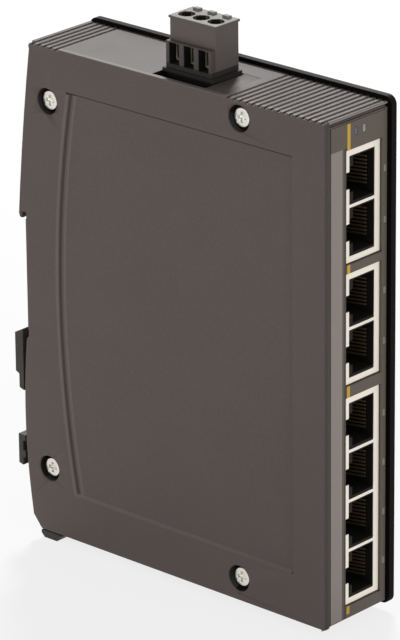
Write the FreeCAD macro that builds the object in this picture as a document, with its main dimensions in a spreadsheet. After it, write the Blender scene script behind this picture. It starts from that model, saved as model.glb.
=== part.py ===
import FreeCAD, Part
import Sketcher
import math
import os

# Eight-port Ethernet switch for a 35 mm top-hat rail.
# Frame: origin at the middle of the rail seat, +Y out of the seat towards the rail, +Z up,
# -Y towards the front with the jacks, -X the large cover that is screwed on. Millimetres.

SIZES = (
    # housing
    ("case_width", 26.0),
    ("case_front", 106.5),
    ("case_top", 66.5),
    ("case_bottom", 72.5),
    ("left_plate", 1.4),
    ("right_plate", 2.0),
    ("frame_wall", 1.8),
    ("frame_corner", 2.7),
    ("cover_skirt", 1.0),
    ("right_lip", 1.2),
    ("edge_round", 1.5),
    ("right_round", 2.4),
    ("top_rear", 3.0),
    ("top_bow", 0.1),
    ("top_bow_height", 42.0),
    ("bottom_rear", 0.6),
    ("bottom_bow", 1.7),
    ("bottom_bow_depth", 45.0),
    ("bottom_chamfer", 3.4),
    # rail
    ("rail_height", 35.0),
    ("rail_flange", 1.0),
    ("rail_play", 0.25),
    ("hook_grip", 1.5),
    ("slot_relief", 0.2),
    ("hook_rear", 2.4),
    ("lip_chamfer", 0.6),
    ("lower_rear", 0.6),
    ("shoulder_drop", 0.8),
    # recessed panel of the left cover
    ("panel_front", 95.0),
    ("panel_rear", 16.2),
    ("panel_bow", 10.9),
    ("panel_bow_depth", 5.0),
    ("panel_top", 55.4),
    ("panel_bottom", 60.2),
    ("panel_depth", 0.9),
    ("panel_slope", 0.7),
    ("panel_rear_slope", 3.2),
    ("panel_back", 0.8),
    # cover screws
    ("screw_top_rear", 9.2),
    ("screw_top_rear_height", 51.2),
    ("screw_top_front", 77.0),
    ("screw_top_front_height", 61.4),
    ("screw_low_rear", 7.2),
    ("screw_low_rear_depth", 54.6),
    ("screw_low_front", 76.0),
    ("screw_low_front_depth", 67.0),
    ("screw_shank", 3.0),
    ("screw_head", 5.0),
    ("screw_head_height", 1.5),
    ("head_recess", 7.4),
    ("head_seat", 2.8),
    ("cup_wall", 0.6),
    ("cup_floor", 0.9),
    ("cup_play", 0.15),
    ("screw_play", 0.2),
    ("screw_end_play", 0.25),
    ("thread_play", 0.03),
    ("column_width", 7.0),
    ("boss_height", 3.0),
    ("thread_end", 0.8),
    ("drive_width", 0.9),
    ("drive_length", 3.0),
    ("drive_depth", 0.8),
    # front wall, foil and light windows
    ("front_recess", 0.3),
    ("foil_thickness", 0.25),
    ("foil_margin", 0.4),
    ("rebate_drop", 0.7),
    ("rebate_height", 0.9),
    ("rebate_depth", 0.6),
    ("window_play", 0.3),
    ("light_width", 1.0),
    ("light_height", 2.0),
    ("light_margin", 1.0),
    ("light_play", 0.1),
    ("light_bend", 1.2),
    ("diode_side", 1.2),
    ("power_light_low", -1.5),
    ("power_light_high", 1.7),
    ("power_light_drop", 4.8),
    # jacks
    ("port_pitch", 13.97),
    ("jack_rim", 1.23),
    ("jack_margin", 2.4),
    ("jack_height", 13.6),
    ("jack_length", 17.6),
    ("jack_recess", 0.6),
    ("jack_top_margin", 9.5),
    ("jack_gap_upper", 2.9),
    ("jack_gap_lower", 3.7),
    ("shield_sheet", 0.3),
    ("opening_low", 1.6),
    ("opening_high", 2.1),
    ("opening_height", 13.1),
    ("notch_height", 4.5),
    ("insert_play", 0.05),
    ("insert_length", 15.2),
    ("cavity_width", 11.9),
    ("cavity_depth", 12.0),
    ("cavity_low", 3.4),
    ("cavity_high", 2.2),
    ("step_width", 6.8),
    ("contact_pitch", 1.02),
    ("contact_width", 0.45),
    ("contact_thick", 0.3),
    ("contact_front", 2.0),
    ("contact_bend", 8.4),
    ("contact_lift", 2.2),
    ("contact_slot", 0.25),
    # circuit board
    ("board_thickness", 1.6),
    ("board_rear", 14.0),
    ("board_gap", 0.3),
    ("board_top", 57.4),
    ("board_bottom", 70.2),
    ("post_rear", 19.0),
    ("post_front", 74.0),
    ("post_top", 52.5),
    ("post_bottom", 56.6),
    ("post_width", 6.0),
    ("board_screw_length", 7.0),
    # what the board carries
    ("chip_across", 50.0),
    ("chip_side", 20.0),
    ("chip_thickness", 1.6),
    ("transformer_gap", 2.05),
    ("transformer_up", 40.0),
    ("transformer_pitch", 28.0),
    ("transformer_width", 10.0),
    ("transformer_height", 17.0),
    ("transformer_thickness", 6.0),
    ("crystal_across", 34.0),
    ("crystal_down", 4.0),
    ("crystal_width", 4.8),
    ("crystal_height", 11.4),
    ("crystal_thickness", 3.4),
    ("inductor_across", 42.0),
    ("inductor_up", 36.0),
    ("inductor_side", 10.0),
    ("inductor_thickness", 4.8),
    ("regulator_up", 24.0),
    ("regulator_width", 6.2),
    ("regulator_height", 5.0),
    ("regulator_thickness", 1.7),
    ("fuse_across", 36.0),
    ("fuse_up", 49.0),
    ("fuse_length", 8.0),
    ("fuse_side", 3.0),
    ("capacitor_across", 27.0),
    ("capacitor_up", 38.0),
    ("capacitor_pitch", 11.0),
    ("capacitor_width", 8.0),
    ("capacitor_length", 10.5),
    # latch
    ("latch_width", 12.0),
    ("latch_play", 0.25),
    ("latch_front", 5.5),
    ("latch_travel", 3.5),
    ("channel_front", 5.8),
    ("channel_top", 14.2),
    ("nose_reach", 4.9),
    ("nose_grip", 1.9),
    ("nose_height", 11.3),
    ("nose_step", 3.7),
    ("nose_step_height", 4.5),
    ("web_rear", 1.1),
    ("web_low_rear", 1.2),
    ("block_top", 47.4),
    ("block_height", 9.8),
    ("block_reach", 4.5),
    ("window_width", 1.8),
    ("window_height", 2.8),
    ("window_gap", 2.1),
    ("foot_drop", 3.3),
    ("foot_front", 12.5),
    ("foot_gap", 0.25),
    ("wing_inset", 0.2),
    ("wing_gap", 0.3),
    ("wing_drop", 0.2),
    ("guide_width", 1.0),
    ("guide_depth", 1.6),
    ("guide_front", 4.6),
    ("guide_top", 22.0),
    ("guide_bottom", 62.0),
    ("spring_width", 4.4),
    ("spring_wire", 0.6),
    ("spring_turns", 6.0),
    ("spring_seat", 40.0),
    ("spring_length", 18.0),
    ("spring_play", 0.15),
    ("ledge_height", 2.0),
    # power plug and header
    ("plug_place", 55.1),
    ("pole_pitch", 5.08),
    ("plug_height", 14.8),
    ("plug_low", -5.9),
    ("plug_high", 3.0),
    ("plug_end", 2.8),
    ("plug_ledge", 1.7),
    ("ledge_drop", 6.4),
    ("plug_lip", 0.3),
    ("plug_lip_height", 0.7),
    ("plug_foot", 7.0),
    ("foot_wall", 1.0),
    ("entry_width", 3.5),
    ("entry_height", 5.8),
    ("entry_sill", 2.3),
    ("bump_margin", 0.6),
    ("bump_depth", 1.4),
    ("bump_width", 2.2),
    ("bump_height", 0.7),
    ("pole_place", -2.5),
    ("driver_hole", 4.4),
    ("clamp_shank", 2.3),
    ("clamp_head", 3.8),
    ("clamp_sink", 2.0),
    ("clamp_slot", 0.6),
    ("clamp_play", 0.05),
    ("cage_width", 3.2),
    ("cage_length", 5.0),
    ("cage_height", 5.3),
    ("cage_wall", 0.7),
    ("cage_roof", 1.0),
    ("cage_travel", 1.8),
    ("cage_gap", 0.15),
    ("bar_gap", 0.45),
    ("bar_thickness", 0.8),
    ("bar_width", 1.7),
    ("pin_width", 1.0),
    ("pin_place", -1.9),
    ("leaf_thickness", 0.35),
    ("leaf_length", 5.5),
    ("header_wall", 1.1),
    ("header_play", 0.3),
    ("header_rim", 1.0),
    ("rim_depth", 1.0),
    ("rim_reach", 0.5),
    ("seat_play", 0.05),
    ("tongue_drop", 3.0),
    ("header_floor", 1.4),
    ("header_tongue", 5.6),
    ("header_foot", 10.0),
    ("opening_play", 0.4),
    # ribbed fields of the top wall
    ("rib_pitch", 2.1),
    ("rib_groove", 1.0),
    ("rib_depth", 0.5),
    ("front_ribs_rear", 73.0),
    ("rear_ribs_rear", 4.2),
)

FRONT_RIBS = 16
REAR_RIBS = 5
TRANSFORMERS = 4
CAPACITORS = 2
RUNS_PER_TURN = 10
CONTACTS = 8
CORNERS = 4

document = FreeCAD.newDocument("ethernet_switch")
sheet = document.addObject("Spreadsheet::Sheet", "Sizes")
nodes = []


class Size:
    """A length with the expression that binds it to the sheet and its present value."""

    def __init__(self, text, number):
        self.text = text
        self.number = number

    def __add__(self, other):
        other = as_size(other)
        return Size("(%s + %s)" % (self.text, other.text), self.number + other.number)

    def __sub__(self, other):
        other = as_size(other)
        return Size("(%s - %s)" % (self.text, other.text), self.number - other.number)

    def __mul__(self, factor):
        return Size("(%s * %r)" % (self.text, factor), self.number * factor)

    def __truediv__(self, factor):
        return Size("(%s / %r)" % (self.text, factor), self.number / factor)

    def __neg__(self):
        return Size("(0 - %s)" % self.text, -self.number)


def as_size(value):
    """A plain number as a Size."""
    if isinstance(value, Size):
        return value
    return Size("%r" % float(value), float(value))


class Sheet:
    """The driving sizes, each under its own name."""


size = Sheet()
for row, (alias, number) in enumerate(SIZES, start=1):
    sheet.set("A%d" % row, alias)
    sheet.set("B%d" % row, "%r" % number)
    sheet.setAlias("B%d" % row, alias)
    setattr(size, alias, Size("Sizes." + alias, number))
document.recompute()


# ---------------------------------------------------------------- drawing helpers

def bind(thing, prop, value):
    """Ties one property to the sheet."""
    thing.setExpression(prop, as_size(value).text)


def new_body(name):
    body = document.addObject("PartDesign::Body", name)
    body.Label = name
    nodes.append(body)
    return body


def new_sketch(body, role, offset):
    """A sketch on one of the body's origin planes, moved along the plane's normal."""
    sketch = body.newObject("Sketcher::SketchObject", body.Name + "_sketch")
    plane = [item for item in body.Origin.OriginFeatures if item.Role == role][0]
    sketch.AttachmentSupport = [(plane, "")]
    sketch.MapMode = "FlatFace"
    bind(sketch, "AttachmentOffset.Base.z", offset)
    return sketch


def vector(point):
    return FreeCAD.Vector(as_size(point[0]).number, as_size(point[1]).number, 0)


def place_point(sketch, geometry, end, point):
    """Holds one end of a sketch line at a point measured from the sketch's origin."""
    for kind, value in zip(("DistanceX", "DistanceY"), point):
        value = as_size(value)
        index = sketch.addConstraint(Sketcher.Constraint(kind, -1, 1, geometry, end, value.number))
        sketch.setExpression("Constraints[%d]" % index, value.text)


def draw_outline(sketch, corners):
    """A closed outline. A corner is (across, up), with a third entry where an arc
    through that further point leads on to the next corner."""
    ends = []
    for index, corner in enumerate(corners):
        start = vector(corner)
        end = vector(corners[(index + 1) % len(corners)])
        if len(corner) == 2:
            ends.append((sketch.addGeometry(Part.LineSegment(start, end)), 1, 2))
            continue
        through = Part.Circle(start, vector(corner[2]), end)
        centre = through.Center
        turns_left = (vector(corner[2]) - start).cross(end - start).z > 0
        first, last = (start, end) if turns_left else (end, start)
        angle = [math.atan2(point.y - centre.y, point.x - centre.x) for point in (first, last)]
        circle = Part.Circle(centre, FreeCAD.Vector(0, 0, 1), through.Radius)
        number = sketch.addGeometry(Part.ArcOfCircle(circle, angle[0], angle[1]))
        ends.append((number, 1, 2) if turns_left else (number, 2, 1))
        via = sketch.addGeometry(Part.Point(vector(corner[2])), True)
        place_point(sketch, via, 1, corner[2])
        sketch.addConstraint(Sketcher.Constraint("PointOnObject", via, 1, number))
    for index, corner in enumerate(corners):
        geometry, start_end, _ = ends[index]
        before, _, last_end = ends[index - 1]
        sketch.addConstraint(Sketcher.Constraint("Coincident", before, last_end, geometry, start_end))
        place_point(sketch, geometry, start_end, corner)


def draw_circle(sketch, centre, width):
    circle = Part.Circle(vector(centre), FreeCAD.Vector(0, 0, 1), width.number / 2)
    number = sketch.addGeometry(circle)
    place_point(sketch, number, 3, centre)
    index = sketch.addConstraint(Sketcher.Constraint("Diameter", number, width.number))
    sketch.setExpression("Constraints[%d]" % index, width.text)


def rectangle(low, high):
    return [(low[0], low[1]), (high[0], low[1]), (high[0], high[1]), (low[0], high[1])]


def square(place, width):
    """A square outline about its middle."""
    half = width / 2
    return rectangle((place[0] - half, place[1] - half), (place[0] + half, place[1] + half))


def extrude(body, role, start, end, outlines=(), circles=(), cut=False):
    """Pads or pockets outlines and circles between two places along a plane's normal."""
    start = as_size(start)
    sketch = new_sketch(body, role, start)
    for corners in outlines:
        draw_outline(sketch, corners)
    for centre, width in circles:
        draw_circle(sketch, centre, width)
    before = body.Shape.Volume if body.Tip else 0.0
    kind = "PartDesign::Pocket" if cut else "PartDesign::Pad"
    feature = body.newObject(kind, body.Name + ("_pocket" if cut else "_pad"))
    feature.Profile = sketch
    feature.Reversed = cut
    bind(feature, "Length", as_size(end) - start)
    document.recompute()
    change = body.Shape.Volume - before
    if (change < 0) != cut or abs(change) < 1e-6:
        raise RuntimeError("%s changed nothing in %s" % (feature.Name, body.Name))
    return feature


def round_edges(body, radius, wanted):
    """Rounds the edges of the body's tip for which wanted(edge) holds."""
    tip = body.Tip
    names = ["Edge%d" % (number + 1) for number, edge in enumerate(tip.Shape.Edges) if wanted(edge)]
    if not names:
        raise RuntimeError("no edge to round in " + body.Name)
    feature = body.newObject("PartDesign::Fillet", body.Name + "_fillet")
    feature.Base = (tip, names)
    bind(feature, "Radius", radius)
    document.recompute()


def box(name, low, high):
    """A block between two opposite corners."""
    piece = document.addObject("Part::Box", name)
    for prop, axis, first, last in zip(("Length", "Width", "Height"), "xyz", low, high):
        first = as_size(first)
        bind(piece, prop, as_size(last) - first)
        bind(piece, "Placement.Base." + axis, first)
    return piece


ALONG = {
    "x": FreeCAD.Rotation(FreeCAD.Vector(0, 1, 0), 90),
    "y": FreeCAD.Rotation(FreeCAD.Vector(1, 0, 0), -90),
    "z": FreeCAD.Rotation(),
}


def rod(name, axis, start, width, length):
    """A round bar that starts at a point and runs along +X, +Y or +Z."""
    piece = document.addObject("Part::Cylinder", name)
    piece.Placement = FreeCAD.Placement(FreeCAD.Vector(), ALONG[axis])
    bind(piece, "Radius", as_size(width) / 2)
    bind(piece, "Height", length)
    for letter, value in zip("xyz", start):
        bind(piece, "Placement.Base." + letter, value)
    return piece


def fuse(name, pieces):
    joined = document.addObject("Part::MultiFuse", name)
    joined.Shapes = pieces
    joined.Refine = True
    return joined


def gather(name, pieces):
    """Separate solids kept as one group."""
    group = document.addObject("Part::Compound", name)
    group.Links = pieces
    return group


def cut(name, base, tools):
    result = document.addObject("Part::Cut", name)
    result.Base = base
    result.Tool = tools[0] if len(tools) == 1 else gather(name + "_tools", tools)
    return result


def finish(thing, name):
    """Makes a piece a node of the assembly."""
    thing.Label = name
    nodes.append(thing)
    return thing


# ---------------------------------------------------------------- shared places

left_face = -(size.case_width / 2)
left_inner = left_face + size.left_plate
right_face = size.case_width / 2
right_inner = right_face - size.right_plate
front_wall_face = size.case_front - size.front_recess
rail_half = size.rail_height / 2
slot_end = rail_half + size.rail_play
seat_half = rail_half - size.hook_grip
nose_lip = rail_half - size.nose_grip
flange_slot = size.rail_flange + size.rail_play
skirt_bottom = size.case_bottom + size.cover_skirt
screw_seat = left_face + size.head_seat
cup_inner = screw_seat + size.cup_floor
cup_width = size.head_recess + size.cup_wall * 2

screw_places = (
    (-size.screw_top_rear, size.screw_top_rear_height),
    (-size.screw_top_front, size.screw_top_front_height),
    (-size.screw_low_rear, -size.screw_low_rear_depth),
    (-size.screw_low_front, -size.screw_low_front_depth),
)
post_places = (
    (-size.post_rear, size.post_top),
    (-size.post_rear, -size.post_bottom),
    (-size.post_front, size.post_top),
)

jack_face = size.case_front - size.jack_recess
jack_high = right_inner - size.jack_margin
jack_side = jack_high - size.jack_height
light_side = right_inner - size.light_margin
board_face = jack_side
board_back = board_face - size.board_thickness


class Jack:
    """One ganged jack: its name, its number of ports and its upper end."""

    def __init__(self, name, ports, top):
        self.name = name
        self.ports = ports
        self.top = top
        self.bottom = top - size.port_pitch * ports - size.jack_rim * 2
        first = top - size.jack_rim - size.port_pitch / 2
        self.centres = [first - size.port_pitch * number for number in range(ports)]


upper_jack = Jack("upper_jack", 2, size.case_top - size.jack_top_margin)
middle_jack = Jack("middle_jack", 2, upper_jack.bottom - size.jack_gap_upper)
lower_jack = Jack("lower_jack", 4, middle_jack.bottom - size.jack_gap_lower)
jacks = (upper_jack, middle_jack, lower_jack)

power_light_height = size.case_top - size.power_light_drop

plug_middle = -size.plug_place
pole_places = [plug_middle + size.pole_pitch * number for number in (-1, 0, 1)]
plug_half = size.pole_pitch + size.plug_end
plug_top = size.case_top + size.plug_height


def case_outline(front, top, bottom):
    """Side outline of the housing: straight front, bowed back with the seat, the fixed
    hook above the rail and the shoulder below it."""
    return [
        (-front, -bottom),
        (-front, top),
        (-size.top_rear, top, (size.top_bow, size.top_bow_height)),
        (size.hook_rear, slot_end - size.lip_chamfer),
        (size.hook_rear - size.lip_chamfer, seat_half),
        (flange_slot, seat_half),
        (flange_slot, slot_end),
        (-size.slot_relief, slot_end),
        (-size.slot_relief, seat_half),
        (0.0, seat_half),
        (0.0, -seat_half),
        (-size.slot_relief, -seat_half),
        (-size.slot_relief, -slot_end),
        (size.lower_rear, -(slot_end + size.shoulder_drop),
         (size.bottom_bow, -size.bottom_bow_depth)),
        (-size.bottom_rear, size.bottom_chamfer - bottom),
        (-size.bottom_chamfer, -bottom),
    ]


def is_along_x(edge):
    """True for a straight edge across the width."""
    ends = [vertex.Point for vertex in edge.Vertexes]
    return len(ends) == 2 and abs(ends[0].y - ends[1].y) + abs(ends[0].z - ends[1].z) < 1e-6


def corner_of_case(edge, across, up):
    """True for an edge across the width at the given place in the side view."""
    if not is_along_x(edge):
        return False
    point = edge.Vertexes[0].Point
    return abs(point.y - across.number) < 1e-4 and abs(point.z - up.number) < 1e-4


def rib_grooves(name):
    """Grooves across the top in a front and a rear field, through the left cover's edge too,
    counted forwards from the rearmost one of each field."""
    bottom = size.case_top - size.rib_depth
    grooves = []
    for rear, count in ((-size.front_ribs_rear, FRONT_RIBS), (-size.rear_ribs_rear, REAR_RIBS)):
        for number in range(count):
            start = rear - size.rib_pitch * number
            grooves.append(box(name + "_rib_groove", (left_face, start - size.rib_groove, bottom),
                               (right_inner, start, size.case_top + size.rib_depth)))
    return grooves


# ---------------------------------------------------------------- left cover

def panel_outline(inset, rear_inset):
    """Outline of the recessed field, with a bowed rear edge."""
    front = inset - size.panel_front
    rear = -(size.panel_rear + rear_inset)
    return [
        (front, inset - size.panel_bottom),
        (rear, inset - size.panel_bottom,
         (-(size.panel_bow + rear_inset), -size.panel_bow_depth)),
        (rear, size.panel_top - inset),
        (front, size.panel_top - inset),
    ]


def make_left_cover():
    """Cast cover with a shallow recessed field, sloping widely at its rear edge, and four
    cups that take the screw heads below the face."""
    body = document.addObject("PartDesign::Body", "cover_body")
    outline = case_outline(size.case_front, size.case_top, skirt_bottom)
    extrude(body, "YZ_Plane", left_face, left_inner, [outline])
    round_edges(body, size.edge_round, lambda edge: (
        corner_of_case(edge, -size.case_front, size.case_top)
        or corner_of_case(edge, -size.case_front, -skirt_bottom)
        or corner_of_case(edge, -size.top_rear, size.case_top)))
    back_inset = size.panel_slope * 2
    extrude(body, "YZ_Plane", left_inner, left_inner + size.panel_back,
            [panel_outline(-back_inset, -back_inset)])
    extrude(body, "YZ_Plane", left_inner, cup_inner,
            [square(place, cup_width) for place in screw_places])
    recess = body.newObject("PartDesign::SubtractiveLoft", "panel_recess")
    sketches = []
    for depth, inset, rear_inset in ((0.0, 0.0, 0.0), (1.0, size.panel_slope, size.panel_rear_slope)):
        sketch = new_sketch(body, "YZ_Plane", left_face + size.panel_depth * depth)
        draw_outline(sketch, panel_outline(as_size(inset), as_size(rear_inset)))
        sketches.append(sketch)
    recess.Profile = sketches[0]
    recess.Sections = [sketches[1]]
    recess.Ruled = True
    document.recompute()
    extrude(body, "YZ_Plane", left_face, screw_seat,
            circles=[(place, size.head_recess) for place in screw_places], cut=True)
    extrude(body, "YZ_Plane", screw_seat, cup_inner,
            circles=[(place, size.screw_shank + size.screw_play * 2) for place in screw_places],
            cut=True)
    finish(cut("left_cover", body, rib_grooves("cover")), "left_cover")


# ---------------------------------------------------------------- right cover

def make_right_cover():
    """Cast base plate that stands a little proud of the frame, with four threaded bosses for
    the cover screws and three posts for the circuit board."""
    body = new_body("right_cover")
    front = size.case_front + size.right_lip
    top = size.case_top + size.right_lip
    extrude(body, "YZ_Plane", right_inner, right_face, [case_outline(front, top, skirt_bottom)])
    round_edges(body, size.right_round, lambda edge: (
        corner_of_case(edge, -front, top)
        or corner_of_case(edge, -front, -skirt_bottom)
        or corner_of_case(edge, -size.top_rear, top)))
    extrude(body, "YZ_Plane", right_inner - size.boss_height, right_inner,
            [square(place, size.column_width) for place in screw_places])
    extrude(body, "YZ_Plane", board_face, right_inner,
            [square(place, size.post_width) for place in post_places])
    thread = size.screw_shank + size.thread_play * 2
    extrude(body, "YZ_Plane", right_inner - size.boss_height, right_face - size.thread_end,
            circles=[(place, thread) for place in screw_places], cut=True)
    extrude(body, "YZ_Plane", board_face, board_face + size.board_screw_length,
            circles=[(place, thread) for place in post_places], cut=True)


# ---------------------------------------------------------------- frame

def cavity_outline():
    """Hollow of the frame: a thin wall all round and a deeper block behind the latch."""
    wall = size.frame_wall
    block = size.channel_front + wall
    return [
        (wall - front_wall_face, wall - size.case_bottom),
        (wall - front_wall_face, size.case_top - wall),
        (-(size.top_rear + size.frame_corner), size.case_top - wall),
        (-(size.slot_relief + wall), slot_end + wall),
        (-(size.slot_relief + wall), wall - size.channel_top),
        (-block, wall - size.channel_top),
        (-block, wall - size.case_bottom),
    ]


def front_windows():
    """Outlines of the jack windows and of the slits for the light pipes."""
    windows = []
    for jack in jacks:
        windows.append(rectangle((jack_side - size.window_play, jack.bottom - size.window_play),
                                 (jack_high + size.window_play, jack.top + size.window_play)))
    lights = [(light_side, centre) for jack in jacks for centre in jack.centres]
    lights += [(side, power_light_height) for side in (size.power_light_low, size.power_light_high)]
    half_wide = size.light_width / 2 + size.light_play
    half_high = size.light_height / 2 + size.light_play
    for side, centre in lights:
        windows.append(rectangle((side - half_wide, centre - half_high),
                                 (side + half_wide, centre + half_high)))
    return windows


def make_frame_body():
    """Ring of top, front, bottom and rear walls with the four screw columns, the jack and
    light windows, the plug opening and the channel in which the rail latch slides."""
    body = document.addObject("PartDesign::Body", "frame_body")
    extrude(body, "YZ_Plane", left_inner, right_inner,
            [case_outline(front_wall_face, size.case_top, size.case_bottom), cavity_outline()])
    play = size.screw_play
    web = size.boss_height / 2
    across, up = screw_places[0]
    extrude(body, "YZ_Plane", left_inner, right_inner,
            [rectangle((across, up - web), (-(size.slot_relief + size.frame_wall / 2), up + web))])
    across, up = screw_places[3]
    extrude(body, "YZ_Plane", left_inner, right_inner,
            [rectangle((across - web, -(size.case_bottom - size.frame_wall / 2)), (across + web, up))])
    extrude(body, "YZ_Plane", left_inner, right_inner,
            [square(place, size.column_width) for place in screw_places])
    extrude(body, "YZ_Plane", left_inner, cup_inner + size.cup_play,
            [square(place, cup_width + size.cup_play * 2) for place in screw_places], cut=True)
    boss_end = right_inner - size.boss_height - size.cup_play
    extrude(body, "YZ_Plane", cup_inner, boss_end,
            circles=[(place, size.screw_shank + play * 2) for place in screw_places], cut=True)
    extrude(body, "YZ_Plane", boss_end, right_inner,
            [square(place, size.column_width + play * 2) for place in screw_places], cut=True)

    # channel of the latch, its two guide grooves and the ledge that carries the spring
    half = size.latch_width / 2 + size.latch_play
    groove = half + size.guide_width
    beyond = size.case_bottom + size.frame_wall
    rear = size.nose_reach + size.frame_wall
    extrude(body, "YZ_Plane", -half, half,
            [rectangle((-size.channel_front, -beyond), (rear, -size.channel_top))], cut=True)
    extrude(body, "YZ_Plane", -groove, groove,
            [rectangle((-(size.guide_front + size.latch_play),
                        -(size.guide_bottom + size.latch_travel + size.latch_play)),
                       (size.guide_depth - size.guide_front + size.latch_play,
                        size.latch_play / 2 - size.guide_top))], cut=True)
    ledge = size.spring_width / 2 - size.latch_play
    spring_foot = size.spring_seat + size.spring_length
    extrude(body, "YZ_Plane", -ledge, ledge,
            [rectangle((-(size.channel_front + size.frame_wall / 2), -(spring_foot + size.ledge_height)),
                       (-size.latch_play, -spring_foot))])

    # groove under the front edge of the top wall
    rebate_top = size.case_top - size.rebate_drop
    extrude(body, "YZ_Plane", left_inner, right_inner,
            [rectangle((-front_wall_face, rebate_top - size.rebate_height),
                       (size.rebate_depth - front_wall_face, rebate_top))], cut=True)

    # windows in the front wall
    extrude(body, "XZ_Plane", front_wall_face - size.frame_wall, front_wall_face, front_windows(),
            cut=True)

    # opening in the top wall, open towards the left cover
    opening = rectangle((left_inner, header_front - size.opening_play),
                        (header_high + size.opening_play, header_rear + size.opening_play))
    extrude(body, "XY_Plane", size.case_top - size.frame_wall, size.case_top, [opening], cut=True)
    return body


def make_housing_frame():
    finish(cut("housing_frame", make_frame_body(), rib_grooves("frame")), "housing_frame")


# ---------------------------------------------------------------- front foil

def make_front_foil():
    """Thin printed foil stuck on the front wall, cut out round the jacks and the lights."""
    body = new_body("front_foil")
    margin = size.foil_margin
    top_margin = size.rebate_drop + size.rebate_height + margin
    edge = rectangle((left_inner + margin, margin - size.case_bottom),
                     (right_inner - margin, size.case_top - top_margin))
    extrude(body, "XZ_Plane", front_wall_face, front_wall_face + size.foil_thickness,
            [edge] + front_windows())


# ---------------------------------------------------------------- screws

def pan_screw(name, seat, place, head_width, head_height, length, shank):
    """Pan-head screw along +X with a cross recess; seat is where the head bears."""
    head = rod(name + "_head", "x", (seat - head_height, place[0], place[1]), head_width, head_height)
    stem = rod(name + "_stem", "x", (seat - head_height / 2, place[0], place[1]), shank,
               length + head_height / 2)
    blank = fuse(name + "_blank", [head, stem])
    half_wide = size.drive_width / 2
    half_long = size.drive_length / 2
    top = seat - head_height
    slots = []
    for wide, high in ((half_wide, half_long), (half_long, half_wide)):
        slots.append(box(name + "_slot", (top - size.drive_depth, place[0] - wide, place[1] - high),
                         (top + size.drive_depth, place[0] + wide, place[1] + high)))
    return cut(name, blank, [fuse(name + "_cross", slots)])


def make_screws():
    tip = right_face - size.thread_end - size.screw_end_play
    finish(gather("cover_screws", [
        pan_screw("cover_screw", screw_seat, place, size.screw_head, size.screw_head_height,
                  tip - screw_seat, size.screw_shank) for place in screw_places]), "cover_screws")
    finish(gather("board_screws", [
        pan_screw("board_screw", board_back, place, size.screw_head, size.screw_head_height,
                  size.board_screw_length, size.screw_shank) for place in post_places]), "board_screws")


# ---------------------------------------------------------------- circuit board

def make_circuit_board():
    """Board beside the left cover, notched round the lower front screw column."""
    board_front = front_wall_face - size.frame_wall - size.board_gap
    plate = box("board_plate", (board_back, -board_front, -size.board_bottom),
                (board_face, -size.board_rear, size.board_top))
    tools = [rod("board_hole", "x", (board_back, place[0], place[1]),
                 size.screw_shank + size.screw_play * 2, size.board_thickness) for place in post_places]
    column = screw_places[3]
    reach = size.column_width / 2 + size.board_gap
    tools.append(box("board_notch", (board_back, column[0] - reach, -size.board_bottom - reach),
                     (board_face, column[0] + reach, column[1] + reach)))
    finish(cut("circuit_board", plate, tools), "circuit_board")


def chip(name, place, width, height, thickness):
    """A flat component standing on the board; place is its middle in the side view."""
    half_wide = width / 2
    half_high = height / 2
    return box(name, (board_face, place[0] - half_wide, place[1] - half_high),
               (board_face + thickness, place[0] + half_wide, place[1] + half_high))


def make_components():
    """What the board carries: switch chip, line transformers, power parts and crystal."""
    level = as_size(0.0)
    finish(chip("switch_chip", (-size.chip_across, level), size.chip_side, size.chip_side,
                size.chip_thickness), "switch_chip")
    transformers = []
    across = light_leg - light_face + size.light_bend + size.transformer_gap + size.transformer_width / 2
    for number in range(TRANSFORMERS):
        up = size.transformer_up - size.transformer_pitch * number
        transformers.append(chip("transformer", (across, up), size.transformer_width,
                                 size.transformer_height, size.transformer_thickness))
    finish(gather("line_transformers", transformers), "line_transformers")
    finish(chip("crystal", (-size.crystal_across, -size.crystal_down), size.crystal_width,
                size.crystal_height, size.crystal_thickness), "crystal")
    finish(chip("power_inductor", (-size.inductor_across, size.inductor_up), size.inductor_side,
                size.inductor_side, size.inductor_thickness), "power_inductor")
    finish(chip("regulator_chip", (-size.inductor_across, size.regulator_up), size.regulator_width,
                size.regulator_height, size.regulator_thickness), "regulator_chip")
    finish(chip("input_fuse", (-size.fuse_across, size.fuse_up), size.fuse_length, size.fuse_side,
                size.fuse_side), "input_fuse")
    finish(gather("smoothing_capacitors", [
        rod("capacitor", "x",
            (board_face, -size.capacitor_across, size.capacitor_up - size.capacitor_pitch * number),
            size.capacitor_width, size.capacitor_length) for number in range(CAPACITORS)]),
        "smoothing_capacitors")


# ---------------------------------------------------------------- jacks

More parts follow.
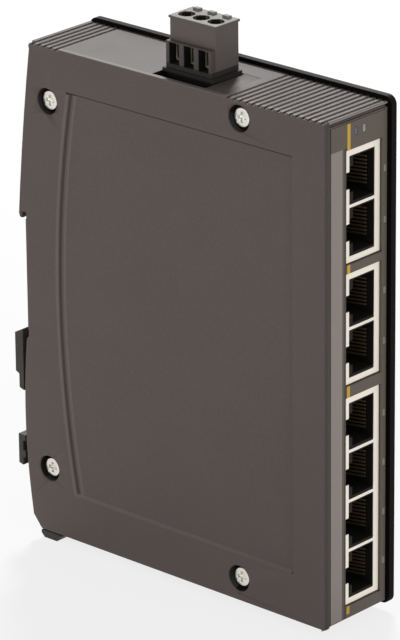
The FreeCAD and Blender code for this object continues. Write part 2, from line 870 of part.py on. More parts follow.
def make_jack(jack):
    """Ganged jack: folded tin-plated shield, moulded insert with one stepped cavity for each
    port, and eight sprung contact wires for each port, bent down to the board behind it."""
    sheet_metal = size.shield_sheet
    front = -jack_face
    rear = front + size.jack_length
    low = jack_side
    high = jack_high
    can = box(jack.name + "_can", (low, front, jack.bottom), (high, rear, jack.top))
    inside = box(jack.name + "_inside",
                 (low + sheet_metal, front + sheet_metal, jack.bottom + sheet_metal),
                 (high - sheet_metal, rear - sheet_metal, jack.top - sheet_metal))
    legs = front + sheet_metal + size.insert_play + size.insert_length
    exit_slot = box(jack.name + "_exit", (low - sheet_metal, legs, jack.bottom + sheet_metal),
                    (low + sheet_metal * 2, rear - sheet_metal, jack.top - sheet_metal))
    open_low = low + size.opening_low
    open_high = high - size.opening_high
    tools = [fuse(jack.name + "_hollow", [inside, exit_slot])]
    half_open = size.opening_height / 2
    half_notch = size.notch_height / 2
    for centre in jack.centres:
        tools.append(fuse(jack.name + "_mouth", [
            box(jack.name + "_opening", (open_low, front, centre - half_open),
                (open_high, front + sheet_metal * 2, centre + half_open)),
            box(jack.name + "_notch", (low + sheet_metal, front, centre - half_notch),
                (open_low + sheet_metal, front + sheet_metal * 2, centre + half_notch))]))
    finish(cut(jack.name + "_shield", can, tools), jack.name + "_shield")

    gap = sheet_metal + size.insert_play
    face = front + gap
    back = face + size.insert_length
    block = box(jack.name + "_block", (low + gap, face, jack.bottom + gap),
                (high - gap, back, jack.top - gap))
    cavity_low = low + size.cavity_low
    cavity_high = high - size.cavity_high
    bend_high = cavity_high - size.contact_lift
    cavities = []
    for centre in jack.centres:
        rear_wall = face + size.cavity_depth
        rows = size.contact_pitch * (CONTACTS / 2)
        cavities.append(fuse(jack.name + "_cavity", [
            box(jack.name + "_main", (cavity_low, face, centre - size.cavity_width / 2),
                (cavity_high, rear_wall, centre + size.cavity_width / 2)),
            box(jack.name + "_step", (open_low, face, centre - size.step_width / 2),
                (cavity_low + gap, rear_wall, centre + size.step_width / 2)),
            box(jack.name + "_catch", (low + gap, face, centre - half_notch),
                (open_low + gap, rear_wall, centre + half_notch)),
            box(jack.name + "_slit",
                (bend_high - size.contact_thick - size.contact_slot, face, centre - rows),
                (bend_high + size.contact_slot, back, centre + rows))]))
    finish(cut(jack.name + "_insert", block, cavities), jack.name + "_insert")

    thick = size.contact_thick.number
    tip = (face + size.contact_front).number
    bend = (face + size.contact_bend).number
    leg = back.number + thick
    top = (cavity_high - size.contact_slot).number
    run = bend_high.number
    profile = [(tip, top), (bend, run), (leg + thick, run), (leg + thick, low.number),
               (leg, low.number), (leg, run - thick), (bend, run - thick), (tip, top - thick)]
    wires = []
    for centre in jack.centres:
        for number in range(CONTACTS):
            start = centre.number + (number - (CONTACTS - 1) / 2) * size.contact_pitch.number
            start -= size.contact_width.number / 2
            points = [FreeCAD.Vector(up, along, start) for along, up in profile]
            face_shape = Part.Face(Part.makePolygon(points + points[:1]))
            wires.append(face_shape.extrude(FreeCAD.Vector(0, 0, size.contact_width.number)))
    contacts = document.addObject("Part::Feature", jack.name + "_contacts")
    contacts.Shape = Part.makeCompound(wires)
    finish(contacts, jack.name + "_contacts")


# ---------------------------------------------------------------- light pipes and their diodes

light_face = front_wall_face + size.foil_thickness
light_leg = size.jack_length + size.jack_recess + size.light_height


def light_rod(name, side, centre, elbow):
    """One square rod from the front foil back over the jacks and down to its diode."""
    half = size.light_height / 2
    wide = size.light_width / 2
    back = elbow - light_face
    leg = back + size.light_bend
    return [
        box(name + "_run", (side - wide, -light_face, centre - half), (side + wide, leg, centre + half)),
        box(name + "_leg", (board_face + size.diode_side + size.light_play, back, centre - half),
            (side + wide, leg, centre + half)),
    ]


def make_light_pipes():
    elbow = light_leg
    diodes = []
    for jack in jacks:
        rods = []
        for centre in jack.centres:
            rods += light_rod(jack.name + "_light", light_side, centre, elbow)
            diodes.append(chip("diode", (elbow - light_face + size.diode_side / 2, centre),
                               size.diode_side, size.light_height, size.diode_side))
        wide = size.light_width / 2
        tie = elbow / 2 - light_face
        rods.append(box(jack.name + "_tie", (light_side - wide, tie, jack.centres[-1]),
                        (light_side + wide, tie + size.light_height, jack.centres[0])))
        finish(fuse(jack.name + "_light_pipe", rods), jack.name + "_light_pipe")
    finish(gather("port_diodes", diodes), "port_diodes")

    half = size.light_height / 2
    wide = size.light_width / 2
    thick = size.light_bend
    high = power_light_height + half
    foot = upper_jack.top - size.light_height
    rods = []
    diodes = []
    for number, side in enumerate((size.power_light_low, size.power_light_high)):
        back = elbow - light_face + size.light_height * number
        rods += [
            box("power_run", (side - wide, -light_face, high - size.light_height),
                (side + wide, back, high)),
            box("power_drop", (side - wide, back, foot - half), (side + wide, back + thick, high)),
            box("power_leg", (board_face + size.diode_side + size.light_play, back, foot - half),
                (side + wide, back + thick, foot + half)),
        ]
        diodes.append(chip("power_diode", (back + thick / 2, foot), thick, size.light_height,
                           size.diode_side))
    rods.append(box("power_tie", (size.power_light_low, elbow - light_face - size.light_height,
                                  high - size.light_height),
                    (size.power_light_high, elbow - light_face, high)))
    finish(fuse("power_light_pipe", rods), "power_light_pipe")
    finish(gather("power_diodes", diodes), "power_diodes")


# ---------------------------------------------------------------- rail latch and spring

def latch_outline():
    """Side profile of the sliding latch, from the foot up to the nose behind the rail."""
    block_bottom = size.block_top + size.block_height
    nose_low = slot_end + size.nose_height
    foot_bottom = size.case_bottom + size.foot_drop
    foot_top = size.case_bottom + size.foot_gap
    return [
        (-size.latch_front, -foot_top),
        (-size.latch_front, -(nose_lip + size.rail_play)),
        (-size.latch_play, -(nose_lip + size.rail_play)),
        (-size.latch_play, -slot_end),
        (flange_slot + size.rail_play, -slot_end),
        (flange_slot + size.rail_play, -nose_lip),
        (size.nose_reach, -slot_end),
        (size.nose_reach, -nose_low),
        (size.nose_step, -(nose_low + size.lip_chamfer)),
        (size.nose_step, -(nose_low + size.nose_step_height)),
        (size.web_rear, -(nose_low + size.nose_step_height + size.lip_chamfer)),
        (size.web_rear, -size.block_top),
        (size.block_reach, -size.block_top),
        (size.block_reach, -(block_bottom - size.lip_chamfer * 2)),
        (size.web_rear, -block_bottom),
        (-size.web_low_rear, -(block_bottom + size.lip_chamfer)),
        (-size.bottom_chamfer, -foot_top),
        (-size.bottom_chamfer, -(foot_bottom - size.lip_chamfer * 2)),
        (-(size.bottom_chamfer + size.lip_chamfer * 2), -foot_bottom),
        (-(size.foot_front - size.foot_drop), -foot_bottom),
        (-size.foot_front, -foot_top),
    ]


def wing_outlines():
    """Nose, finger block and foot where they spread over the rear and lower edges of the
    covers, as wide as the housing and clear of the rail seat."""
    inner = size.bottom_bow + size.wing_gap
    nose_low = slot_end + size.nose_height
    nose_foot = nose_low + size.nose_step_height
    block_bottom = size.block_top + size.block_height
    foot_bottom = size.case_bottom + size.foot_drop
    foot_top = skirt_bottom + size.foot_gap
    nose = [
        (inner, -(seat_half + size.wing_drop)),
        (size.nose_reach, -slot_end),
        (size.nose_reach, -nose_low),
        (size.nose_step, -(nose_low + size.lip_chamfer)),
        (size.nose_step, -nose_foot),
        (inner, -(nose_foot + size.lip_chamfer)),
    ]
    block = [
        (inner, -size.block_top),
        (size.block_reach, -size.block_top),
        (size.block_reach, -(block_bottom - size.lip_chamfer * 2)),
        (inner, -(block_bottom - size.lip_chamfer)),
    ]
    foot = [
        (-size.bottom_chamfer, -foot_top),
        (-size.bottom_chamfer, -(foot_bottom - size.lip_chamfer * 2)),
        (-(size.bottom_chamfer + size.lip_chamfer * 2), -foot_bottom),
        (-(size.foot_front - size.foot_drop), -foot_bottom),
        (-(size.foot_front - size.cover_skirt), -foot_top),
    ]
    return [nose, block, foot]


def make_rail_latch():
    """Moulded slider with the nose that grips the rail, guide ribs on both sides, a finger
    block with two windows, the spring pocket and a foot for a screwdriver."""
    body = new_body("rail_latch")
    half = size.latch_width / 2
    extrude(body, "YZ_Plane", -half, half, [latch_outline()])
    wing = size.case_width / 2 - size.wing_inset
    for outline in wing_outlines():
        extrude(body, "YZ_Plane", -wing, wing, [outline])
    guide = half + size.guide_width - size.latch_play
    extrude(body, "YZ_Plane", -guide, guide,
            [rectangle((-size.guide_front, -size.guide_bottom),
                       (size.guide_depth - size.guide_front, -size.guide_top))])
    pocket = size.spring_width / 2 + size.latch_play
    floor = size.spring_seat + size.spring_length + size.ledge_height + size.latch_travel
    extrude(body, "YZ_Plane", -pocket, pocket,
            [rectangle((-(size.latch_front + size.latch_play), -(floor + size.latch_play * 2)),
                       (size.latch_play, -size.spring_seat))], cut=True)
    top = size.block_top + size.window_width
    windows = []
    for number in (0, 1):
        high = top + (size.window_height + size.window_gap) * number
        windows.append(rectangle((size.web_rear, -(high + size.window_height)),
                                 (size.web_rear + size.window_width, -high)))
    extrude(body, "YZ_Plane", -wing, wing, windows, cut=True)


def make_latch_spring():
    """Compression coil between the ledge of the frame and the top of the latch's pocket, as
    short straight runs of square wire."""
    wire = size.spring_wire.number / 2
    radius = size.spring_width.number / 2 - wire
    play = size.spring_play.number + wire
    rise = size.spring_length.number - play * 2
    runs = RUNS_PER_TURN * round(size.spring_turns.number)
    rings = []
    for run in range(runs + 1):
        turn = 2 * math.pi * run / RUNS_PER_TURN
        ring = []
        for corner in range(CORNERS):
            lean = math.pi / CORNERS * (corner * 2 + 1)
            reach = radius + wire * math.cos(lean)
            up = rise * run / runs + wire * math.sin(lean)
            ring.append(FreeCAD.Vector(reach * math.cos(turn), reach * math.sin(turn), up))
        rings.append(ring)
    outlines = [rings[0], rings[-1]]
    for lower, upper in zip(rings, rings[1:]):
        for corner in range(CORNERS):
            after = (corner + 1) % CORNERS
            outlines.append([lower[corner], lower[after], upper[after]])
            outlines.append([lower[corner], upper[after], upper[corner]])
    faces = [Part.Face(Part.makePolygon(outline + outline[:1])) for outline in outlines]
    coil = Part.makeSolid(Part.makeShell(faces))
    if coil.Volume < 0:
        coil.reverse()
    spring = document.addObject("Part::Feature", "latch_spring")
    spring.Shape = coil
    middle = -size.latch_front.number / 2
    low = -(size.spring_seat + size.spring_length).number + play
    spring.Placement = FreeCAD.Placement(FreeCAD.Vector(0, middle, low), FreeCAD.Rotation())
    finish(spring, "latch_spring")


# ---------------------------------------------------------------- power header

entry_bottom = size.case_top + size.entry_sill
entry_top = entry_bottom + size.entry_height
ledge_low = size.plug_low - size.plug_ledge
foot_low = size.plug_low + size.foot_wall
foot_high = size.plug_high - size.foot_wall
foot_half = plug_half - size.foot_wall / 2
foot_bottom = size.case_top - size.plug_foot
header_low = foot_low - size.header_play - size.header_wall
header_high = foot_high + size.header_play + size.header_wall
header_rear = plug_middle + foot_half + size.header_play + size.header_wall
shell_front = plug_middle - foot_half - size.header_play - size.header_wall
header_front = shell_front - size.header_tongue
header_lid = size.case_top + size.header_rim
plug_base = header_lid + size.seat_play
header_base = foot_bottom - size.header_play - size.header_floor


def make_power_header():
    """Moulded header on the board that takes the plug from above, with a rim under the plug, a
    low front end and three bent pins."""
    shell = box("header_shell", (header_low, shell_front, header_base),
                (header_high, header_rear, header_lid))
    tongue = box("header_tongue", (header_low, header_front, header_base),
                 (header_high, shell_front, size.case_top - size.tongue_drop))
    rim = box("header_rim", (ledge_low - size.rim_reach, shell_front, header_lid - size.rim_depth),
              (header_high, header_rear, header_lid))
    stand = box("header_stand", (board_face, header_front, header_base - size.header_foot),
                (header_high, header_rear, header_base))
    well = box("header_well", (foot_low - size.header_play, plug_middle - foot_half - size.header_play,
                               foot_bottom - size.header_play),
               (foot_high + size.header_play, plug_middle + foot_half + size.header_play, header_lid))
    half = size.pin_width / 2
    low = header_base - size.header_foot / 2
    channels = []
    pins = []
    for pole in pole_places:
        channels.append(fuse("pin_channel", pin_boxes("channel", pole, low, half + size.clamp_play)))
        pins.append(fuse("header_pin", pin_boxes("pin", pole, low, half)))
    blank = fuse("header_blank", [shell, tongue, rim, stand])
    finish(cut("power_header", blank, [well] + channels), "power_header")
    finish(gather("header_pins", pins), "header_pins")


def pin_boxes(name, pole, low, half):
    """A square pin from the board across to the plug's middle and up into the plug."""
    tip = foot_bottom + size.leaf_length - size.pin_width / 2
    grow = half - size.pin_width / 2
    return [
        box(name + "_cross", (board_face - grow, pole - half, low - half),
            (size.pin_place + half, pole + half, low + half)),
        box(name + "_riser", (size.pin_place - half, pole - half, low - half),
            (size.pin_place + half, pole + half, tip + grow)),
    ]


# ---------------------------------------------------------------- plug

cage_floor = entry_bottom + size.cage_gap * 2
cage_low = size.pole_place - size.cage_length / 2
cage_high = size.pole_place + size.cage_length / 2
cage_top = cage_floor + size.cage_height
cavity_roof = cage_top + size.cage_travel + size.cage_gap * 2
bar_top = cage_top - size.cage_roof - size.bar_gap
bar_bottom = bar_top - size.bar_thickness
head_bottom = cavity_roof + size.cage_roof
head_top = plug_top - size.clamp_sink


def make_plug_body():
    """Moulded plug: body with a thin lip round its top, a wider lower half with the three wire
    entries, three bumps on its edge, the screw holes and the foot that goes into the header."""
    body = document.addObject("PartDesign::Body", "plug_shell")
    front = plug_middle - plug_half
    rear = plug_middle + plug_half
    split = plug_top - size.ledge_drop
    extrude(body, "XY_Plane", plug_base, plug_top,
            [rectangle((size.plug_low, front), (size.plug_high, rear))])
    extrude(body, "XY_Plane", plug_base, split,
            [rectangle((ledge_low, front), (size.plug_low, rear))])
    extrude(body, "XY_Plane", plug_top - size.plug_lip_height, plug_top,
            [rectangle((size.plug_low - size.plug_lip, front - size.plug_lip),
                       (size.plug_high + size.plug_lip, rear + size.plug_lip))])
    extrude(body, "XY_Plane", foot_bottom, plug_base,
            [rectangle((foot_low, plug_middle - foot_half), (foot_high, plug_middle + foot_half))])
    bump_high = size.plug_high - size.bump_margin
    bump_half = size.bump_width / 2
    extrude(body, "XY_Plane", plug_top, plug_top + size.bump_height,
            [rectangle((bump_high - size.bump_depth, pole - bump_half), (bump_high, pole + bump_half))
             for pole in pole_places])
    half = size.entry_width / 2
    entries = [rectangle((ledge_low, pole - half), (cage_high + size.cage_gap, pole + half))
               for pole in pole_places]
    extrude(body, "XY_Plane", entry_bottom, entry_top, entries, cut=True)
    rooms = [rectangle((cage_low - size.cage_gap, pole - half), (cage_high + size.cage_gap, pole + half))
             for pole in pole_places]
    extrude(body, "XY_Plane", entry_top, cavity_roof, rooms, cut=True)
    holes = [((size.pole_place, pole), size.driver_hole) for pole in pole_places]
    extrude(body, "XY_Plane", head_bottom - size.cage_gap, plug_top, circles=holes, cut=True)
    necks = [((size.pole_place, pole), size.clamp_shank + size.cage_gap * 2) for pole in pole_places]
    extrude(body, "XY_Plane", cavity_roof, head_bottom - size.cage_gap, circles=necks, cut=True)
    # rooms of the fork contacts, open below
    fork = size.bar_width / 2 + size.cage_gap
    low = size.pin_place - size.pin_width / 2 - size.leaf_thickness - size.cage_gap
    strip = cage_high + size.cage_gap
    rooms = [rectangle((low, pole - fork), (strip + size.leaf_thickness + size.cage_gap, pole + fork))
             for pole in pole_places]
    extrude(body, "XY_Plane", foot_bottom, entry_bottom, rooms, cut=True)
    strips = [rectangle((cage_high + size.cage_gap, pole - fork),
                        (strip + size.leaf_thickness + size.cage_gap, pole + fork)) for pole in pole_places]
    extrude(body, "XY_Plane", entry_bottom, bar_top + size.cage_gap, strips, cut=True)
    finish(body, "plug_body")


def make_plug_contact(pole):
    """Fixed bar above the wire, a strip down beside the cage and a fork that grips the pin."""
    half = size.bar_width / 2
    strip_low = cage_high + size.cage_gap
    strip_high = strip_low + size.leaf_thickness
    pin_low = size.pin_place - size.pin_width / 2
    pin_high = size.pin_place + size.pin_width / 2
    fork_top = foot_bottom + size.leaf_length
    return fuse("plug_contact", [
        box("bar", (cage_low + size.cage_gap, pole - half, bar_bottom), (strip_high, pole + half, bar_top)),
        box("strip", (strip_low, pole - half, fork_top), (strip_high, pole + half, bar_top)),
        box("bridge", (pin_low - size.leaf_thickness, pole - half, fork_top),
            (strip_high, pole + half, fork_top + size.leaf_thickness)),
        box("leaf", (pin_low - size.leaf_thickness, pole - half, foot_bottom),
            (pin_low, pole + half, fork_top)),
        box("leaf", (pin_high, pole - half, foot_bottom),
            (pin_high + size.leaf_thickness, pole + half, fork_top)),
    ])


def make_terminals():
    """For each pole: a screw that turns in place and the cage that it lifts."""
    finish(gather("plug_contacts", [make_plug_contact(pole) for pole in pole_places]), "plug_contacts")
    half = size.cage_width / 2
    wall = size.cage_wall
    for number, pole in enumerate(pole_places, start=1):
        place = (size.pole_place, pole)
        stem_low = bar_top + size.clamp_play
        stem = rod("clamp_stem", "z", place + (stem_low,), size.clamp_shank, head_top - stem_low)
        head = rod("clamp_head", "z", place + (head_bottom,), size.clamp_head, head_top - head_bottom)
        half_slot = size.clamp_slot / 2
        slot = box("clamp_slot", (size.pole_place - size.clamp_head, pole - half_slot,
                                  head_top - size.drive_depth),
                   (size.pole_place + size.clamp_head, pole + half_slot, head_top + size.drive_depth))
        name = "terminal_screw_%d" % number
        finish(cut(name, fuse("clamp_blank", [stem, head]), [slot]), name)
        block = box("cage_block", (cage_low, pole - half, cage_floor), (cage_high, pole + half, cage_top))
        mouth = box("cage_mouth", (cage_low, pole - half + wall / 2, cage_floor + wall),
                    (cage_high, pole + half - wall / 2, cage_top - size.cage_roof))
        hole = rod("cage_hole", "z", place + (cage_top - size.cage_roof,),
                   size.clamp_shank + size.clamp_play * 2, size.cage_roof)
        name = "clamp_cage_%d" % number
        finish(cut(name, block, [mouth, hole]), name)


# ---------------------------------------------------------------- assembly

make_left_cover()
make_right_cover()
make_housing_frame()
make_front_foil()
make_screws()
make_circuit_board()
make_components()
for jack in jacks:
    make_jack(jack)
make_light_pipes()
make_rail_latch()
make_latch_spring()
make_power_header()
make_plug_body()
make_terminals()
document.recompute()

for thing in document.Objects:
    if "Invalid" in thing.State or "Error" in thing.State:
        raise RuntimeError("%s is %s" % (thing.Label, thing.State))
for node in nodes:
    if node.Shape.isNull() or not node.Shape.isValid() or not node.Shape.Solids:
        raise RuntimeError(node.Label + " has no valid shape")

os.makedirs("parts", exist_ok=True)
for node in nodes:
    node.Shape.exportStep(os.path.join("parts", node.Label + ".step"))
    print("%-28s solids %2d  volume %9.1f" % (node.Label, len(node.Shape.Solids), node.Shape.Volume))
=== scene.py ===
import math

import bpy
from mathutils import Matrix, Vector


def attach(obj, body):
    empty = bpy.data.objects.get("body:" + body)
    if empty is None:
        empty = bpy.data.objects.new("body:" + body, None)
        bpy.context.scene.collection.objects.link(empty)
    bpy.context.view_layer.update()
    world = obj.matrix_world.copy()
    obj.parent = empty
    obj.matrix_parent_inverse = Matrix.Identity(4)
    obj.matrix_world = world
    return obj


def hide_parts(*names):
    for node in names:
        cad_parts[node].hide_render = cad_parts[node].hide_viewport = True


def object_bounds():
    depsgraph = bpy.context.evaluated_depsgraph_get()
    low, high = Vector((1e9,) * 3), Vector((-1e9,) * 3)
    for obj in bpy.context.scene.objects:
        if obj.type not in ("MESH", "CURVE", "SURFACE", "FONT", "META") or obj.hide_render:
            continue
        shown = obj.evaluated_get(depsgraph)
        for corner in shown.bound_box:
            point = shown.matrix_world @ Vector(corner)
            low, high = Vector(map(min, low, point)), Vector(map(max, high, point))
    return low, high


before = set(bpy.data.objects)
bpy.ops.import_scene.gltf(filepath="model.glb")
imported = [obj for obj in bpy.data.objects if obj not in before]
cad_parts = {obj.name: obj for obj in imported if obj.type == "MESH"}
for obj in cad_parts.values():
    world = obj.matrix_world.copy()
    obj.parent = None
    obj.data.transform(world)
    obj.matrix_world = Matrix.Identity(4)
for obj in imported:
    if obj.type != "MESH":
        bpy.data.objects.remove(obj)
cad_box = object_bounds()


# ---- Base cover --------------------------------------------------------------------
# The black cover that carries everything: a die-cast plate with the screw bosses and the
# board posts on its inner side, powder coated in a satin black. Its rim stands a little
# proud of the frame and is well rounded.

MM = 0.001
SHARP = math.radians(30)


def srgb(red, green, blue):
    """A colour given in the 0-255 steps of a paint card, as a shader colour."""
    steps = (value / 255 for value in (red, green, blue))
    linear = (s / 12.92 if s <= 0.04045 else ((s + 0.055) / 1.055) ** 2.4 for s in steps)
    return tuple(linear) + (1.0,)


def finished(part, name, body, material, edge=0.0, segments=2, sides=4, rim=None,
             rim_edge=0.0, clamp=True):
    """The visible form of a cast, moulded or folded part: its own outline with the small
    rounds that its making leaves on every edge, and a wider one where rim(edge) holds.
    Both rounds are in millimetres. A face with more than so many sides is cut into
    triangles first, because a bevel can turn one with holes in it inside out."""
    weld, flat = 0.002 * MM, math.radians(0.1)
    piece = bpy.data.objects.new(name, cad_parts[part].data.copy())
    bpy.context.scene.collection.objects.link(piece)
    bpy.ops.object.select_all(action="DESELECT")
    piece.select_set(True)
    bpy.context.view_layer.objects.active = piece
    bpy.ops.object.mode_set(mode="EDIT")
    bpy.ops.mesh.select_all(action="SELECT")
    bpy.ops.mesh.remove_doubles(threshold=weld)
    bpy.ops.mesh.dissolve_limited(angle_limit=flat)
    bpy.ops.mesh.select_all(action="DESELECT")
    bpy.ops.mesh.select_face_by_sides(number=sides, type="GREATER")
    bpy.ops.mesh.quads_convert_to_tris(quad_method="BEAUTY", ngon_method="BEAUTY")
    bpy.ops.mesh.select_mode(type="EDGE")
    bpy.ops.mesh.select_all(action="DESELECT")
    bpy.ops.mesh.edges_select_sharp(sharpness=SHARP)
    bpy.ops.object.mode_set(mode="OBJECT")
    if edge or rim_edge:
        widest = max(edge, rim_edge)
        weights = piece.data.attributes.new("bevel_weight_edge", "FLOAT", "EDGE")
        for weight, line in zip(weights.data, piece.data.edges):
            ends = [piece.data.vertices[number].co for number in line.vertices]
            width = rim_edge if rim and rim(*ends) else edge
            weight.value = width / widest if line.select else 0.0
        bevel = piece.modifiers.new("edge round", "BEVEL")
        bevel.width = widest * MM
        bevel.segments = segments
        bevel.limit_method = "WEIGHT"
        bevel.use_clamp_overlap = clamp
        bevel.miter_outer = "MITER_ARC"
        bpy.ops.object.modifier_apply(modifier=bevel.name)
    bpy.ops.object.shade_smooth_by_angle(angle=SHARP)
    even = piece.modifiers.new("even normals", "WEIGHTED_NORMAL")
    even.keep_sharp = True
    even.weight = 100
    bpy.ops.object.modifier_apply(modifier=even.name)
    piece.data.materials.clear()
    piece.data.materials.append(material)
    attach(piece, body)
    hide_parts(part)


def new_group(name, inputs, outputs):
    """An empty shader node group with its sockets."""
    group = bpy.data.node_groups.new(name, "ShaderNodeTree")
    for socket, kind, value in inputs:
        made = group.interface.new_socket(socket, in_out="INPUT", socket_type="NodeSocket" + kind)
        made.default_value = value
    for socket, kind in outputs:
        group.interface.new_socket(socket, in_out="OUTPUT", socket_type="NodeSocket" + kind)
    return group, group.nodes.new("NodeGroupInput"), group.nodes.new("NodeGroupOutput")


def add(tree, kind, **settings):
    """A shader node with some of its settings and socket values."""
    made = tree.nodes.new("ShaderNode" + kind)
    for key, value in settings.items():
        if hasattr(made, key):
            setattr(made, key, value)
        else:
            made.inputs[key.replace("_", " ")].default_value = value
    return made


def scaled(tree, value, factor, shift=0.0):
    """value * factor + shift."""
    made = add(tree, "Math", operation="MULTIPLY_ADD")
    made.inputs[1].default_value = factor
    made.inputs[2].default_value = shift
    tree.links.new(value, made.inputs[0])
    return made.outputs[0]


def joined(tree, first, second, operation="MULTIPLY"):
    """Two fields put together."""
    made = add(tree, "Math", operation=operation)
    tree.links.new(first, made.inputs[0])
    tree.links.new(second, made.inputs[1])
    return made.outputs[0]


def finish_group(name, base_scale, cloud_scale, stretch=(1.0, 1.0, 1.0)):
    """A surface finish: fine grain and broad cloudiness in colour, gloss and relief, drawn
    out along an axis where stretch says so."""
    group, given, result = new_group(
        name,
        [("Colour", "Color", (0.5, 0.5, 0.5, 1)), ("Tone", "Float", 0.1), ("Cloud", "Float", 0.1),
         ("Gloss", "Float", 0.5), ("Spread", "Float", 0.15)],
        [("Colour", "Color"), ("Roughness", "Float"), ("Height", "Float")])
    links = group.links
    drawn = add(group, "Mapping")
    drawn.inputs["Scale"].default_value = stretch
    links.new(group.nodes.new("ShaderNodeTexCoord").outputs["Object"], drawn.inputs["Vector"])
    grain = add(group, "TexNoise", Scale=base_scale, Detail=3.0, Roughness=0.6)
    cloud = add(group, "TexNoise", Scale=cloud_scale, Detail=4.0, Roughness=0.6)
    for field in (grain, cloud):
        links.new(drawn.outputs["Vector"], field.inputs["Vector"])
    fine = joined(group, scaled(group, grain.outputs["Fac"], 2.0, -1.0), given.outputs["Tone"])
    broad = joined(group, scaled(group, cloud.outputs["Fac"], 2.0, -1.0), given.outputs["Cloud"])
    level = scaled(group, joined(group, fine, broad, "ADD"), 1.0, 1.0)
    tint = add(group, "VectorMath", operation="SCALE")
    links.new(given.outputs["Colour"], tint.inputs[0])
    links.new(level, tint.inputs["Scale"])
    links.new(tint.outputs[0], result.inputs["Colour"])
    uneven = joined(group, grain.outputs["Fac"], cloud.outputs["Fac"], "ADD")
    spread = joined(group, uneven, given.outputs["Spread"])
    links.new(joined(group, spread, given.outputs["Gloss"], "ADD"), result.inputs["Roughness"])
    links.new(grain.outputs["Fac"], result.inputs["Height"])
    return group


def surface(name, roughness=0.5, metallic=0.0, specular=0.5, colour=(0.5, 0.5, 0.5, 1)):
    """A material with its Principled shader ready, and the tree to build in."""
    material = bpy.data.materials.new(name)
    material.use_nodes = True
    tree = material.node_tree
    shader = tree.nodes["Principled BSDF"]
    shader.inputs["Base Color"].default_value = colour
    shader.inputs["Roughness"].default_value = roughness
    shader.inputs["Metallic"].default_value = metallic
    shader.inputs["Specular IOR Level"].default_value = specular
    return material, tree, shader


def skin(name, group, colour, tone, cloud, gloss, relief, metallic=0.0, specular=0.4, spread=0.15):
    """A material in one finish. Returns it with its tree and the finish, whose colour may be
    patterned further. Relief is the height of the grain in millimetres."""
    material, tree, shader = surface(name, metallic=metallic, specular=specular)
    coat = add(tree, "Group", node_tree=group)
    for key, value in (("Colour", colour), ("Tone", tone), ("Cloud", cloud), ("Gloss", gloss),
                       ("Spread", spread)):
        coat.inputs[key].default_value = value
    tree.links.new(coat.outputs["Colour"], shader.inputs["Base Color"])
    tree.links.new(coat.outputs["Roughness"], shader.inputs["Roughness"])
    bump = add(tree, "Bump", Strength=0.4, Distance=relief * MM)
    tree.links.new(coat.outputs["Height"], bump.inputs["Height"])
    tree.links.new(bump.outputs["Normal"], shader.inputs["Normal"])
    return material, tree, coat


powder_coat = finish_group("powder coat", 1700.0, 45.0)
black_coat, _, _ = skin("black powder coat", powder_coat, srgb(10, 7, 6),
                        tone=0.3, cloud=0.1, gloss=0.42, relief=0.05, specular=0.06)
finished("right_cover", "base_cover", "housing", black_coat,
         edge=0.3, segments=3, sides=100)


# ---- Frame -------------------------------------------------------------------------
# Ring of top, front, bottom and rear walls between the two covers, cast in one piece,
# with ribs across its top and the channel of the rail latch behind. Powder coated grey.

def split(tree):
    """The object coordinates of a material, named as the part's directions."""
    apart = tree.nodes.new("ShaderNodeSeparateXYZ")
    tree.links.new(tree.nodes.new("ShaderNodeTexCoord").outputs["Object"], apart.inputs[0])
    return dict(zip(("across", "along", "up"), apart.outputs))


def between(tree, value, low, high):
    """1 between two places in millimetres, and 0 outside."""
    above = add(tree, "Math", operation="GREATER_THAN")
    below = add(tree, "Math", operation="LESS_THAN")
    tree.links.new(value, above.inputs[0])
    tree.links.new(value, below.inputs[0])
    above.inputs[1].default_value = low * MM
    below.inputs[1].default_value = high * MM
    return joined(tree, above.outputs[0], below.outputs[0])


def zone(tree, places, ranges):
    """1 inside a box of the object, given by its ranges in millimetres, and 0 outside."""
    inside = None
    for axis, (low, high) in ranges.items():
        slab = between(tree, places[axis], low, high)
        inside = joined(tree, inside, slab) if inside else slab
    return inside


def layered(tree, under, mask, colour):
    """A further colour over what lies under it, as far as a mask goes."""
    mix = add(tree, "Mix", data_type="RGBA")
    tree.links.new(mask, mix.inputs["Factor"])
    if isinstance(under, tuple):
        mix.inputs[6].default_value = under
    else:
        tree.links.new(under, mix.inputs[6])
    mix.inputs[7].default_value = colour
    return mix.outputs[2]


def painted(tree, finish, ground, coats):
    """Further colours over the ground colour of a finish, one over the other. Each is given
    with its ranges in millimetres or with a mask."""
    places = split(tree)
    shade = ground
    for colour, where in coats:
        mask = zone(tree, places, where) if isinstance(where, dict) else where
        shade = layered(tree, shade, mask, colour)
    tree.links.new(shade, finish.inputs["Colour"])


# Painted shade: the top faces get a darker grey than the frame's other faces, to hold down the
# strong light that falls on them from above.
frame_grey, top_shaded_grey = srgb(112, 103, 99), srgb(77, 70, 67)
frame_coat, frame_tree, frame_finish = skin("grey powder coat", powder_coat, frame_grey,
                                            tone=0.16, cloud=0.1, gloss=0.4, relief=0.05,
                                            specular=0.2)
top_face = (66.38, 67.0)
painted(frame_tree, frame_finish, frame_grey, (
    # Painted light: the floors and walls of the ribs' grooves are paler than the coat, to lighten
    # the shade that falls in them.
    (srgb(150, 140, 136), {"up": (65.7, 66.38)}),                          # the ribs' grooves
    # Painted shade: the darker grey of the top faces.
    (top_shaded_grey, {"up": top_face}),
    # Painted shade: the tops of the front ribs are darker, for the shade that the ribs cast among
    # themselves.
    (srgb(70, 64, 61), {"up": top_face, "along": (-107.0, -72.0)}),        # the front ribs
    # Painted shade: the walls of the plug's opening are nearly black, for the shade deep in it.
    (srgb(24, 22, 21), {"along": (-72.0, -45.0), "up": (60.0, 66.42)}),    # the plug's opening
    # Painted shade: the groove just above the foil is nearly black, for the shade under the top
    # wall's edge.
    (srgb(16, 15, 14), {"along": (-106.6, -105.4), "up": (65.3, 65.85)}),  # above the foil
))
finished("housing_frame", "frame", "housing", frame_coat, edge=0.1, sides=8)


# ---- Closing strip -----------------------------------------------------------------
# A snapped-in strip closes the top wall in front of the power header: a thin plate with a
# locating rib below, coated in the colour of the frame's top.

